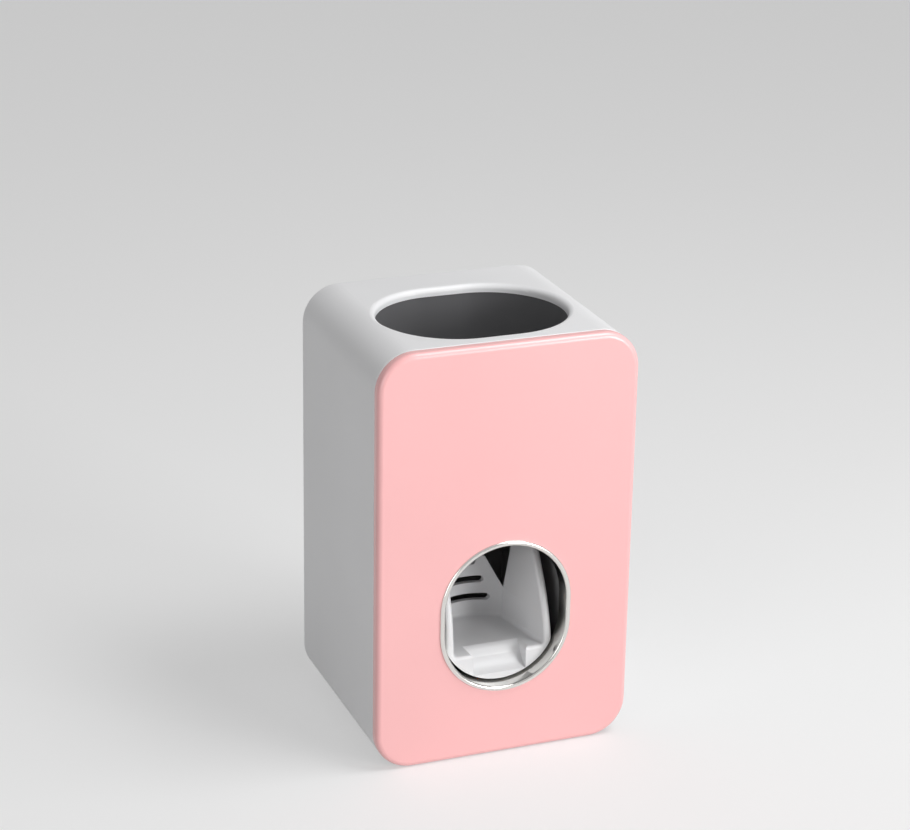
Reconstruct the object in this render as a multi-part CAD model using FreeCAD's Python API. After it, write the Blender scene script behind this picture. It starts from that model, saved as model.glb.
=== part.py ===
import FreeCAD, Part
import math
import os

os.makedirs("parts", exist_ok=True)

# Millimetres. The origin is the middle of the pad's wall face: the wall is the plane y = 0,
# the panel looks towards -Y and +Z is up. Heights called "rise" are from the bottom edge,
# and lengths called "reach" are from the wall.

# Housing
body_width = 62.0
body_height = 100.2
body_reach = 53.9
corner_radius = 8.9
casing_wall = 2.0
casing_rear_reach = 0.8
rear_edge_rounding = 0.5
rim_edge_rounding = 0.25

# Front panel and the shadow joint behind it
panel_thickness = 2.55
panel_joint = 0.3
panel_rounding = 1.3
skirt_thickness = 1.2
skirt_length = 1.8
skirt_clearance = 0.35
skirt_end_room = 12.1

# Corner posts, pegs and the back cover's screws
post_radius = 3.2
post_inset = 5.95
front_post_length = 7.0
peg_radius = 1.5
peg_length = 5.5
peg_clearance = 0.08
peg_end_room = 0.7
rear_post_length = 9.0
screw_radius = 1.2
screw_length = 7.0
screw_head_radius = 2.2
screw_head_height = 1.2
screw_slot_width = 0.55
screw_slot_depth = 0.6
screw_slot_length = 2.6
screw_hole_clearance = 0.15
screw_end_room = 0.5

# Back cover and wall bracket
cover_rear_reach = 2.9
cover_thickness = 2.0
cover_clearance = 0.15
head_recess_depth = 1.3
head_recess_clearance = 0.2
pad_thickness = 1.0
pad_inset = 1.0
plate_width = 44.0
plate_height = 60.0
plate_thickness = 1.6
plate_corner = 5.0
hook_spread = 28.0
hook_width = 8.0
hook_stem = 2.0
hook_tongue_height = 8.0
hook_tongue_thickness = 1.4
hook_running_gap = 0.3
hook_upper_rise = 66.0
hook_lower_rise = 30.0
hang_gap = 0.1
slot_side_gap = 0.4
slot_height = 10.8

# Mouth in the top and the well under it
mouth_side_land = 8.8
mouth_front_land = 3.8
mouth_rear_land = 11.15
mouth_rounding = 1.2
well_overhang = 0.2
well_wall = 1.5
well_floor = 1.6
well_floor_rise = 75.5
well_flange_width = 1.2
well_flange_height = 1.4
well_front_gap = 0.35

# Window and its bright ring
window_rise = 34.65
ring_width = 31.9
ring_straight = 5.3
ring_lip = 0.35
ring_sleeve_wall = 0.8
ring_proud = 0.5
ring_sleeve_length = 4.0
ring_rounding = 0.45
ring_seat_clearance = 0.03

# Inner frame
frame_setback = 1.85
frame_wall = 1.6
frame_rear_reach = 10.8
frame_floor_drop = 4.05
flange_side_gap = 0.6
flange_low_rise = 10.5
flange_high_rise = 73.0
cheek_gap = 0.05
platform_side_room = 7.0
frame_boss_inset = 3.9
frame_boss_radius = 2.4
frame_boss_length = 10.0
frame_boss_low_rise = 20.0
frame_boss_high_rise = 66.0
boss_rib_thickness = 3.0
crossbar_rise = 58.0
crossbar_height = 4.0
crossbar_depth = 3.0
stop_gap = 0.35
shelf_rise = 50.6
shelf_half_width = 9.0
shelf_front_room = 0.6
anvil_half_width = 8.0
anvil_gap = 0.3
anvil_height = 10.0
anvil_rib_offset = 6.0
gasket_ring_wall = 1.5

# Pump, on a vertical axis
pump_ahead = 0.4
pump_radius = 6.5
pump_wall = 1.6
gasket_radius = 9.0
gasket_flange_radius = 11.0
gasket_flange_height = 1.2
gasket_fit = 0.1
neck_radius = 6.5
fitting_flange_height = 1.6
fitting_seat_rise = 70.3
spigot_length = 6.6
spigot_bore = 3.4
valve_wall = 0.7
valve_collar = 2.6
valve_beak = 2.6
valve_slit = 0.2
valve_lip = 0.5
clamp_wall = 1.4
clamp_gap = 0.2
upper_clamp_height = 3.4
lower_clamp_height = 2.2
nozzle_flange_radius = 9.4
nozzle_flange_height = 1.6
nozzle_spigot_length = 2.8
nozzle_tip_radius = 4.3
nozzle_tip_length = 1.9

# Push lever: pivot, side walls that rise as arms, scoop, squeeze bar
pivot_ahead = 6.0
pivot_rise = 68.0
pivot_boss_radius = 5.0
pin_radius = 1.5
pin_clearance = 0.05
pin_head_radius = 2.8
pin_head_height = 0.7
frame_pivot_boss_radius = 3.4
frame_pivot_boss_length = 0.6
frame_pivot_boss_gap = 0.15
arm_thickness = 2.0
scoop_face_depth = 2.9
scoop_side_room = 1.6
scoop_taper = 2.85
scoop_rear_depth = 22.0
scoop_apex_depth = 25.5
scoop_back_wall = 1.25
scoop_ring_gap = 0.5
gap_rise = 31.2
upper_rise = 42.0
upper_rear_spread = 1.15
arm_rise = 57.0
arm_ring_gap = 0.7
edge_start_lift = 4.95
edge_bend_radius = 40.0
edge_end_rise = 47.0
upper_rear_depth = 20.9
floor_front_lift = 8.35
floor_rear_lift = 7.35
floor_rounding = 0.8
notch_land = 4.7
notch_lift = 3.25
notch_bend_depth = 6.5
notch_bend_lift = 6.0
notch_bend_sag = 0.45
notch_end_depth = 8.8
tongue_shoulder_rise = 38.5
tongue_shoulder_half = 4.7
tongue_top_rise = 42.0
tongue_top_half = 2.6
slot_gap_height = 1.8
slot_low_rise = 27.3
slot_mid_rise = 31.8
slot_high_rise = 36.5
slot_low_half = 5.8
slot_mid_half = 4.4
slot_high_half = 2.6
pocket_inset = 1.8
bar_radius = 1.8
bar_rise = 55.8
bar_gap = 0.5
front_edge_rounding = 0.8

# Torsion springs on the pivot pins
wire_radius = 0.35
coil_radius = 2.9
coil_half_thickness = 0.45
coil_length = 1.7
coil_side_gap = 0.25
leg_low_rise = 57.0
leg_ahead = 7.0
leg_gap = 0.1
spring_peg_radius = 0.8
spring_peg_ahead = 6.0
spring_peg_length = 2.2

# Cutters run past a face by this much
overrun = 5.0

# Places that follow from the sizes above
inner_width = body_width - 2 * casing_wall
inner_height = body_height - 2 * casing_wall
inner_corner = corner_radius - casing_wall
panel_back = -(body_reach - panel_thickness)
casing_front = panel_back + panel_joint
casing_back = -casing_rear_reach
cover_front = -(cover_rear_reach + cover_thickness)
mouth_width = body_width - 2 * mouth_side_land
mouth_depth = casing_back - casing_front - mouth_front_land - mouth_rear_land
mouth_y = casing_front + mouth_front_land + mouth_depth / 2
ring_height = ring_width + ring_straight
window_half = ring_width / 2 - ring_lip - ring_sleeve_wall
ring_low_rise = window_rise - ring_height / 2
pump_y = mouth_y - pump_ahead
pump_bore = pump_radius - pump_wall
gasket_ring_radius = gasket_radius + gasket_fit + gasket_ring_wall
pivot_y = pump_y - pivot_ahead
arm_half = gasket_ring_radius + arm_ring_gap
arm_outer = arm_half + arm_thickness
coil_end = arm_outer + coil_side_gap + coil_length
frame_boss_face = coil_end + frame_pivot_boss_gap
cheek_inner = max(frame_boss_face + frame_pivot_boss_length, ring_width / 2 + cheek_gap)
cheek_outer = cheek_inner + frame_wall
frame_front = casing_front + frame_setback
flange_back = frame_front + frame_wall
frame_back = -frame_rear_reach
frame_floor_rise = ring_low_rise - frame_floor_drop
scoop_front = -body_reach + scoop_face_depth
scoop_corner_y = -body_reach + scoop_rear_depth
scoop_apex_y = -body_reach + scoop_apex_depth
scoop_front_half = window_half - arm_thickness - scoop_side_room
scoop_rear_half = scoop_front_half - scoop_taper
notch_half = scoop_front_half - notch_land
upper_rear_half = scoop_rear_half + upper_rear_spread
edge_start_rise = ring_low_rise + edge_start_lift
floor_front_rise = ring_low_rise + floor_front_lift
floor_rear_rise = ring_low_rise + floor_rear_lift
notch_rise = ring_low_rise + notch_lift
notch_bend_rise = ring_low_rise + notch_bend_lift


def up(rise):
    """Height in the part's frame of a place that lies at rise above the bottom edge."""
    return rise - body_height / 2


def box(x0, x1, y0, y1, z0, z1):
    return Part.makeBox(x1 - x0, y1 - y0, z1 - z0, FreeCAD.Vector(x0, y0, z0))


def rod_x(y, z, radius, x0, x1):
    return Part.makeCylinder(radius, x1 - x0, FreeCAD.Vector(x0, y, z), FreeCAD.Vector(1, 0, 0))


def rod_y(x, z, radius, y0, y1):
    return Part.makeCylinder(radius, y1 - y0, FreeCAD.Vector(x, y0, z), FreeCAD.Vector(0, 1, 0))


def rod_z(x, y, radius, z0, z1):
    return Part.makeCylinder(radius, z1 - z0, FreeCAD.Vector(x, y, z0))


def rod_between(start, end, radius):
    along = end.sub(start)
    return Part.makeCylinder(radius, along.Length, start, along)


def tube_z(x, y, outer, inner, z0, z1):
    return rod_z(x, y, outer, z0, z1).cut(rod_z(x, y, inner, z0 - overrun, z1 + overrun))


def prism(points, along):
    """Solid swept by a closed outline of straight sides."""
    outline = Part.makePolygon(points + points[:1])
    return Part.Face(outline).extrude(along)


def block(width, height, radius, y0, y1):
    """Box across Y, centred on the origin's X and Z, with its four long edges rounded."""
    solid = box(-width / 2, width / 2, y0, y1, -height / 2, height / 2)
    return solid.makeFillet(radius, [e for e in solid.Edges if is_along(e, 1)])


def is_along(edge, axis):
    """True for a straight edge that runs along the axis numbered 0, 1 or 2."""
    span = edge.BoundBox
    lengths = [span.XLength, span.YLength, span.ZLength]
    return lengths[axis] > sum(lengths) - lengths[axis]


def oval_y(width, height, z, y0, y1):
    """Upright stadium with round ends above and below, extruded along Y."""
    radius = width / 2
    half_straight = height / 2 - radius
    middle = box(-radius, radius, y0, y1, z - half_straight, z + half_straight)
    low = rod_y(0, z - half_straight, radius, y0, y1)
    high = rod_y(0, z + half_straight, radius, y0, y1)
    return middle.fuse([low, high]).removeSplitter()


def oval_z(width, depth, y, z0, z1):
    """Stadium with round ends on its shorter sides, extruded along Z."""
    radius = min(width, depth) / 2
    side = width / 2 - radius
    ahead = depth / 2 - radius
    ends = [rod_z(-side, y - ahead, radius, z0, z1), rod_z(side, y + ahead, radius, z0, z1)]
    if width > depth:
        middle = box(-side, side, y - radius, y + radius, z0, z1)
    else:
        middle = box(-radius, radius, y - ahead, y + ahead, z0, z1)
    return middle.fuse(ends).removeSplitter()


def edges_in_plane(shape, axis, place):
    """Edges that lie wholly in the plane where the coordinate numbered axis is place."""
    found = []
    near = panel_joint / 100
    for edge in shape.Edges:
        span = edge.BoundBox
        low = [span.XMin, span.YMin, span.ZMin][axis]
        high = [span.XMax, span.YMax, span.ZMax][axis]
        if abs(low - place) < near and abs(high - place) < near:
            found.append(edge)
    return found


def corners():
    """X and Z of the four corner posts."""
    x = body_width / 2 - post_inset
    z = body_height / 2 - post_inset
    return [(side * x, level * z) for side in (-1, 1) for level in (-1, 1)]


def frame_screw_places():
    """X and Z of the four screws that hold the inner frame."""
    rises = (frame_boss_low_rise, frame_boss_high_rise)
    x = inner_width / 2 - frame_boss_inset
    return [(side * x, up(rise)) for side in (-1, 1) for rise in rises]


def screw(x, z, seat, along):
    """Screw whose head rests on the plane y = seat; along is +1 or -1, the shank's way."""
    head_end = seat - along * screw_head_height
    shank_end = seat + along * screw_length
    head = rod_y(x, z, screw_head_radius, min(seat, head_end), max(seat, head_end))
    shank = rod_y(x, z, screw_radius, min(seat, shank_end), max(seat, shank_end))
    depth_end = head_end + along * screw_slot_depth
    past_end = head_end - along * overrun
    low = min(depth_end, past_end)
    high = max(depth_end, past_end)
    half = screw_slot_width / 2
    reach = screw_slot_length / 2
    across = box(x - reach, x + reach, low, high, z - half, z + half)
    upright = box(x - half, x + half, low, high, z - reach, z + reach)
    return head.fuse(shank).cut(across.fuse(upright)).removeSplitter()


def adhesive_pad():
    return block(
        plate_width - 2 * pad_inset,
        plate_height - 2 * pad_inset,
        plate_corner - pad_inset,
        -pad_thickness,
        0,
    )


def hook_places():
    """X and the stem's underside height of the four hooks."""
    rises = (hook_lower_rise, hook_upper_rise)
    return [(side * hook_spread / 2, up(rise)) for side in (-1, 1) for rise in rises]


def wall_bracket():
    plate_front = -(pad_thickness + plate_thickness)
    tongue_back = cover_front - hook_running_gap
    tongue_front = tongue_back - hook_tongue_thickness
    solid = block(plate_width, plate_height, plate_corner, plate_front, -pad_thickness)
    for x, z in hook_places():
        x0 = x - hook_width / 2
        x1 = x + hook_width / 2
        stem = box(x0, x1, tongue_front, plate_front, z, z + hook_stem)
        tongue_top = z + hook_stem + hook_tongue_height
        tongue = box(x0, x1, tongue_front, tongue_back, z, tongue_top)
        solid = solid.fuse([stem, tongue])
    return solid.removeSplitter()


def outer_casing():
    shell = block(body_width, body_height, corner_radius, casing_front, casing_back)
    shell = shell.makeFillet(rear_edge_rounding, edges_in_plane(shell, 1, casing_back))
    shell = shell.makeFillet(rim_edge_rounding, edges_in_plane(shell, 1, casing_front))
    hollow = block(
        inner_width, inner_height, inner_corner, casing_front - overrun, casing_back + overrun
    )
    shell = shell.cut(hollow)
    mouth = oval_z(
        mouth_width, mouth_depth, mouth_y, up(body_height) - overrun, up(body_height) + overrun
    )
    shell = shell.cut(mouth)
    rim = []
    for edge in edges_in_plane(shell, 2, up(body_height)):
        inside_x = abs(edge.BoundBox.Center.x) <= mouth_width / 2
        inside_y = abs(edge.BoundBox.Center.y - mouth_y) <= mouth_depth / 2 + mouth_rounding / 8
        if inside_x and inside_y:
            rim.append(edge)
    shell = shell.makeFillet(mouth_rounding, rim)
    posts = []
    holes = []
    for x, z in corners():
        front_end = casing_front + front_post_length
        posts.append(rod_y(x, z, post_radius, casing_front, front_end))
        socket_end = panel_back + peg_length + peg_end_room
        socket_radius = peg_radius + peg_clearance
        holes.append(rod_y(x, z, socket_radius, casing_front - overrun, socket_end))
        rear_end = cover_front - rear_post_length
        posts.append(rod_y(x, z, post_radius, rear_end, cover_front))
        seat = -(cover_rear_reach + head_recess_depth)
        pilot_end = seat - screw_length - screw_end_room
        holes.append(rod_y(x, z, screw_radius, pilot_end, cover_front + overrun))
    for x, z in frame_screw_places():
        side = math.copysign(1, x)
        boss_end = flange_back + frame_boss_length
        posts.append(rod_y(x, z, frame_boss_radius, flange_back, boss_end))
        rib_ends = sorted([x, side * (inner_width / 2 + casing_wall / 2)])
        low = z - boss_rib_thickness / 2
        high = z + boss_rib_thickness / 2
        posts.append(box(rib_ends[0], rib_ends[1], flange_back, boss_end, low, high))
        pilot_end = frame_front + screw_length + screw_end_room
        holes.append(rod_y(x, z, screw_radius, flange_back - overrun, pilot_end))
    return shell.fuse(posts).cut(holes[0].multiFuse(holes[1:])).removeSplitter()


def back_cover():
    solid = block(
        inner_width - 2 * cover_clearance,
        inner_height - 2 * cover_clearance,
        inner_corner - cover_clearance,
        cover_front,
        -cover_rear_reach,
    )
    cuts = []
    for x, z in corners():
        hole_radius = screw_radius + screw_hole_clearance
        recess_radius = screw_head_radius + head_recess_clearance
        recess_front = -(cover_rear_reach + head_recess_depth)
        cuts.append(rod_y(x, z, hole_radius, cover_front - overrun, overrun))
        cuts.append(rod_y(x, z, recess_radius, recess_front, overrun))
    for x, z in hook_places():
        half = hook_width / 2 + slot_side_gap
        top = z + hook_stem + hang_gap
        cuts.append(
            box(x - half, x + half, cover_front - overrun, overrun, top - slot_height, top)
        )
    return solid.cut(cuts[0].multiFuse(cuts[1:])).removeSplitter()


def back_cover_screws():
    seat = -(cover_rear_reach + head_recess_depth)
    return Part.makeCompound([screw(x, z, seat, -1) for x, z in corners()])


def frame_screws():
    return Part.makeCompound([screw(x, z, frame_front, 1) for x, z in frame_screw_places()])


def tube_well():
    inner_w = mouth_width + 2 * well_overhang
    inner_d = mouth_depth + 2 * well_overhang
    outer_w = inner_w + 2 * well_wall
    outer_d = inner_d + 2 * well_wall
    top = up(body_height - casing_wall)
    bottom = up(well_floor_rise)
    shell = oval_z(outer_w, outer_d, mouth_y, bottom, top)
    flange_w = outer_w + 2 * well_flange_width
    flange_d = outer_d + 2 * well_flange_width
    flange = oval_z(flange_w, flange_d, mouth_y, top - well_flange_height, top)
    skirt_end = panel_back + skirt_length
    ahead = box(
        -body_width, body_width, -2 * body_reach, skirt_end + well_front_gap, bottom, top + overrun
    )
    hollow = oval_z(inner_w, inner_d, mouth_y, bottom + well_floor, top + overrun)
    hole = rod_z(0, pump_y, gasket_radius + gasket_fit, bottom - overrun, bottom + overrun)
    casing_room = block(inner_width, inner_height, inner_corner, -body_reach, 0)
    shell = shell.fuse(flange).common(casing_room)
    return shell.cut(ahead).cut(hollow).cut(hole).removeSplitter()


def neck_gasket():
    bottom = up(fitting_seat_rise + fitting_flange_height)
    seat = up(well_floor_rise + well_floor)
    body = rod_z(0, pump_y, gasket_radius, bottom, seat)
    flange = rod_z(0, pump_y, gasket_flange_radius, seat, seat + gasket_flange_height)
    bore = rod_z(0, pump_y, neck_radius, bottom - overrun, seat + overrun)
    return body.fuse(flange).cut(bore).removeSplitter()


def inlet_fitting():
    seat = up(fitting_seat_rise)
    flange = rod_z(0, pump_y, gasket_radius, seat, seat + fitting_flange_height)
    spigot = rod_z(0, pump_y, pump_bore, seat - spigot_length, seat)
    bore = rod_z(0, pump_y, spigot_bore, seat - spigot_length - overrun, seat + overrun)
    return flange.fuse(spigot).cut(bore).removeSplitter()


def duckbill(z_top):
    """Silicone valve: a round collar that narrows downwards to a flat slit."""
    collar_end = z_top - valve_collar
    beak_end = collar_end - valve_beak
    outer = rod_z(0, pump_y, spigot_bore, beak_end, z_top)
    inner_radius = spigot_bore - valve_wall
    inner = rod_z(0, pump_y, inner_radius, beak_end - overrun, z_top + overrun)
    lip = valve_slit / 2 + valve_lip

    def wedge(half_top, half_low, low, high):
        x = -2 * spigot_bore
        outline = [
            FreeCAD.Vector(x, pump_y - half_low, low),
            FreeCAD.Vector(x, pump_y + half_low, low),
            FreeCAD.Vector(x, pump_y + half_top, collar_end),
            FreeCAD.Vector(x, pump_y + half_top, high),
            FreeCAD.Vector(x, pump_y - half_top, high),
            FreeCAD.Vector(x, pump_y - half_top, collar_end),
        ]
        return prism(outline, FreeCAD.Vector(4 * spigot_bore, 0, 0))

    skin = outer.common(wedge(spigot_bore, lip, beak_end, z_top))
    hollow = inner.common(wedge(inner_radius, valve_slit / 2, beak_end, z_top))
    return skin.cut(hollow).removeSplitter()


def inlet_valve():
    return duckbill(up(fitting_seat_rise - spigot_length) + valve_collar)


def outlet_valve():
    return duckbill(up(shelf_rise) + nozzle_spigot_length)


def pump_tube():
    return tube_z(0, pump_y, pump_radius, pump_bore, up(shelf_rise), up(fitting_seat_rise))


def pump_clamp_upper():
    top = up(fitting_seat_rise) - clamp_gap
    outer = pump_radius + clamp_wall
    return tube_z(0, pump_y, outer, pump_radius, top - upper_clamp_height, top)


def pump_clamp_lower():
    bottom = up(shelf_rise) + clamp_gap
    outer = pump_radius + clamp_wall
    return tube_z(0, pump_y, outer, pump_radius, bottom, bottom + lower_clamp_height)


def outlet_nozzle():
    seat = up(shelf_rise)
    flange_low = seat - nozzle_flange_height
    tip_low = flange_low - nozzle_tip_length
    flange = rod_z(0, pump_y, nozzle_flange_radius, flange_low, seat)
    spigot = rod_z(0, pump_y, pump_bore, seat, seat + nozzle_spigot_length)
    tip = rod_z(0, pump_y, nozzle_tip_radius, tip_low, flange_low)
    bore = rod_z(0, pump_y, spigot_bore, tip_low - overrun, seat + overrun)
    return flange.fuse([spigot, tip]).cut(bore).removeSplitter()


def inner_frame():
    floor_low = up(frame_floor_rise)
    top = up(well_floor_rise)
    platform_low = top - frame_wall
    rear_face = frame_back - frame_wall
    flange_half = inner_width / 2 - flange_side_gap
    platform_half = inner_width / 2 - platform_side_room
    low = up(flange_low_rise)
    high = up(flange_high_rise)
    solids = [
        box(-flange_half, -cheek_inner, frame_front, flange_back, low, high),
        box(cheek_inner, flange_half, frame_front, flange_back, low, high),
        box(-cheek_outer, cheek_outer, frame_front, frame_back, floor_low, floor_low + frame_wall),
        box(-cheek_outer, cheek_outer, rear_face, frame_back, floor_low, top),
        box(-platform_half, platform_half, flange_back, frame_back, platform_low, top),
    ]
    for side in (-1, 1):
        x0, x1 = sorted([side * cheek_inner, side * cheek_outer])
        solids.append(box(x0, x1, frame_front, frame_back, floor_low, top))
        x0, x1 = sorted([side * frame_boss_face, side * cheek_outer])
        solids.append(rod_x(pivot_y, up(pivot_rise), frame_pivot_boss_radius, x0, x1))
        x0, x1 = sorted([side * (cheek_inner - spring_peg_length), side * cheek_outer])
        peg_z = up(pivot_rise) + coil_radius - wire_radius - leg_gap - spring_peg_radius
        solids.append(rod_x(pivot_y - spring_peg_ahead, peg_z, spring_peg_radius, x0, x1))
    bar_back = pivot_y - pivot_boss_radius - stop_gap
    bar_front = bar_back - crossbar_depth
    bar_low = up(crossbar_rise)
    solids.append(
        box(-cheek_outer, cheek_outer, bar_front, bar_back, bar_low, bar_low + crossbar_height)
    )
    shelf_low = up(shelf_rise)
    shelf_front = pump_y - pump_radius - clamp_wall - shelf_front_room
    shelf_top = shelf_low + frame_wall
    solids.append(
        box(-shelf_half_width, shelf_half_width, shelf_front, frame_back, shelf_low, shelf_top)
    )
    anvil_front = pump_y + pump_radius + anvil_gap
    anvil_top = shelf_top + anvil_height
    solids.append(
        box(
            -anvil_half_width,
            anvil_half_width,
            anvil_front,
            anvil_front + frame_wall,
            shelf_low,
            anvil_top,
        )
    )
    for side in (-1, 1):
        x0, x1 = sorted([side * anvil_rib_offset, side * (anvil_rib_offset + frame_wall)])
        solids.append(box(x0, x1, anvil_front, frame_back, shelf_low, anvil_top))
    seat = up(fitting_seat_rise)
    solids.append(rod_z(0, pump_y, gasket_ring_radius, seat - frame_wall, top))
    frame = solids[0].multiFuse(solids[1:])
    clamp_hole = pump_radius + clamp_wall + clamp_gap
    cuts = [
        rod_z(0, pump_y, gasket_radius + gasket_fit, seat, top + overrun),
        rod_z(0, pump_y, clamp_hole, seat - overrun, top),
        rod_z(0, pump_y, clamp_hole, shelf_low - overrun, shelf_top + upper_clamp_height),
    ]
    for x, z in frame_screw_places():
        radius = screw_radius + screw_hole_clearance
        cuts.append(rod_y(x, z, radius, frame_front - overrun, flange_back + overrun))
    for side in (-1, 1):
        x0, x1 = sorted([side * (arm_outer + coil_side_gap / 2), side * body_width])
        cuts.append(rod_x(pivot_y, up(pivot_rise), pin_radius, x0, x1))
    return frame.cut(cuts[0].multiFuse(cuts[1:])).removeSplitter()


def pivot_pin(side):
    x0, x1 = sorted([side * arm_half, side * cheek_outer])
    pin = rod_x(pivot_y, up(pivot_rise), pin_radius, x0, x1)
    x0, x1 = sorted([side * cheek_outer, side * (cheek_outer + pin_head_height)])
    head = rod_x(pivot_y, up(pivot_rise), pin_head_radius, x0, x1)
    return pin.fuse(head).removeSplitter()


def return_spring(side):
    """Torsion spring: coil round the pin, one leg behind the arm, one on the frame's peg."""
    pivot_z = up(pivot_rise)
    coil_start = arm_outer + coil_side_gap
    x0, x1 = sorted([side * coil_start, side * (coil_start + coil_length)])
    coil = rod_x(pivot_y, pivot_z, coil_radius + coil_half_thickness, x0, x1)
    core = rod_x(pivot_y, pivot_z, coil_radius - coil_half_thickness, x0 - overrun, x1 + overrun)
    low_x = side * (coil_start + coil_half_thickness)
    high_x = side * (coil_start + coil_length - coil_half_thickness)
    rear_y = scoop_corner_y + wire_radius + leg_gap
    leg_start = FreeCAD.Vector(low_x, pivot_y + coil_radius, pivot_z)
    leg_end = FreeCAD.Vector(low_x, rear_y, up(leg_low_rise))
    hook_end = FreeCAD.Vector(side * (arm_half + arm_thickness / 4), rear_y, up(leg_low_rise))
    front_start = FreeCAD.Vector(high_x, pivot_y, pivot_z + coil_radius)
    front_end = FreeCAD.Vector(high_x, pivot_y - leg_ahead, pivot_z + coil_radius)
    legs = [
        rod_between(leg_start, leg_end, wire_radius),
        rod_between(leg_end, hook_end, wire_radius),
        Part.makeSphere(wire_radius, leg_end),
        rod_between(front_start, front_end, wire_radius),
    ]
    return coil.cut(core).fuse(legs).removeSplitter()


def scoop_section(front_half, rear_half, grow, back_grow, z):
    """Plan outline of the scoop at one height: open-ended sides and an arched back."""
    front_y = scoop_front - overrun
    corner_y = scoop_corner_y
    slope = (front_half - rear_half) / (corner_y - scoop_front)
    front_x = front_half + slope * overrun + grow
    rear_x = rear_half + grow
    right_front = FreeCAD.Vector(front_x, front_y, z)
    right_rear = FreeCAD.Vector(rear_x, corner_y, z)
    apex = FreeCAD.Vector(0, scoop_apex_y + back_grow, z)
    left_rear = FreeCAD.Vector(-rear_x, corner_y, z)
    left_front = FreeCAD.Vector(-front_x, front_y, z)
    edges = [
        Part.makeLine(right_front, right_rear),
        Part.Arc(right_rear, apex, left_rear).toShape(),
        Part.makeLine(left_rear, left_front),
        Part.makeLine(left_front, right_front),
    ]
    return Part.Wire(edges)


def scoop_core(grow, back_grow):
    """Solid inside the scoop's side walls and back, or outside them when grown by the walls."""
    sections = [
        scoop_section(scoop_front_half, scoop_rear_half, grow, back_grow, up(0)),
        scoop_section(scoop_front_half, scoop_rear_half, grow, back_grow, up(gap_rise)),
        scoop_section(scoop_front_half, upper_rear_half, grow, back_grow, up(upper_rise)),
        scoop_section(arm_half, arm_half, grow, back_grow, up(arm_rise)),
        scoop_section(arm_half, arm_half, grow, back_grow, up(body_height)),
    ]
    return Part.makeLoft(sections, True, True)


def edge_y(rise):
    """Y of the side walls' front edge, which bends back above its start."""
    drop = rise - edge_start_rise
    bend_y = scoop_front + edge_bend_radius
    return bend_y - math.sqrt(edge_bend_radius ** 2 - drop ** 2)


def side_outline():
    """Side view of the lever: upright face, edge that bends back, arm and rear edge."""
    rise_mid = (edge_start_rise + edge_end_rise) / 2

    def point(y, rise):
        return FreeCAD.Vector(-body_width, y, up(rise))

    rear_y = scoop_apex_y + scoop_back_wall + overrun
    boss_front = pivot_y - pivot_boss_radius
    upper_rear_y = -body_reach + upper_rear_depth
    corner_y = scoop_corner_y
    face = [point(rear_y, 0), point(scoop_front, 0), point(scoop_front, edge_start_rise)]
    bend_end = point(edge_y(edge_end_rise), edge_end_rise)
    bend = Part.Arc(face[-1], point(edge_y(rise_mid), rise_mid), bend_end).toShape()
    rest = [
        bend_end,
        point(boss_front, crossbar_rise),
        point(boss_front, pivot_rise),
        point(corner_y, pivot_rise),
        point(corner_y, arm_rise),
        point(upper_rear_y, upper_rise),
        point(corner_y, gap_rise),
        point(rear_y, gap_rise),
        face[0],
    ]
    wire = Part.Wire(Part.makePolygon(face).Edges + [bend] + Part.makePolygon(rest).Edges)
    return Part.Face(wire).extrude(FreeCAD.Vector(2 * body_width, 0, 0))


def tongue_outline():
    """Front view of the tongue that the back wall ends in."""
    y = scoop_corner_y - overrun

    def point(x, rise):
        return FreeCAD.Vector(x, y, up(rise))

    low = gap_rise - scoop_back_wall
    tip_rise = tongue_top_rise - tongue_top_half
    wide = scoop_rear_half
    top = Part.Arc(
        point(tongue_top_half, tip_rise),
        point(0, tongue_top_rise),
        point(-tongue_top_half, tip_rise),
    ).toShape()
    right = [
        point(wide, low),
        point(wide, gap_rise),
        point(tongue_shoulder_half, tongue_shoulder_rise),
        point(tongue_top_half, tip_rise),
    ]
    left = [FreeCAD.Vector(-p.x, p.y, p.z) for p in reversed(right)]
    edges = Part.makePolygon(right).Edges + [top] + Part.makePolygon(left).Edges
    edges.append(Part.makeLine(left[-1], right[0]))
    return Part.Face(Part.Wire(edges)).extrude(FreeCAD.Vector(0, 2 * body_reach, 0))


def scoop_bottom():
    """Room for the scoop: everything above the ring's lower curve, drawn in by a gap."""
    centre = up(window_rise) - ring_straight / 2
    wide = box(-body_width, body_width, -2 * body_reach, 0, centre, up(body_height))
    return wide.fuse(rod_y(0, centre, window_half - scoop_ring_gap, -2 * body_reach, 0))


def floor_plane_above():
    """Everything above the scoop's floor, which falls a little towards the back."""
    x = -body_width
    run = scoop_apex_y - scoop_front
    fall = floor_front_rise - floor_rear_rise
    outline = [
        FreeCAD.Vector(x, scoop_front - run, up(floor_front_rise + fall)),
        FreeCAD.Vector(x, scoop_apex_y + run, up(floor_rear_rise - fall)),
        FreeCAD.Vector(x, scoop_apex_y + run, up(body_height)),
        FreeCAD.Vector(x, scoop_front - run, up(body_height)),
    ]
    return prism(outline, FreeCAD.Vector(2 * body_width, 0, 0))


def floor_rise(depth):
    """Height of the scoop's floor at a depth behind the panel's face."""
    share = (depth - scoop_face_depth) / (scoop_apex_depth - scoop_face_depth)
    return floor_front_rise + (floor_rear_rise - floor_front_rise) * share


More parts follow.
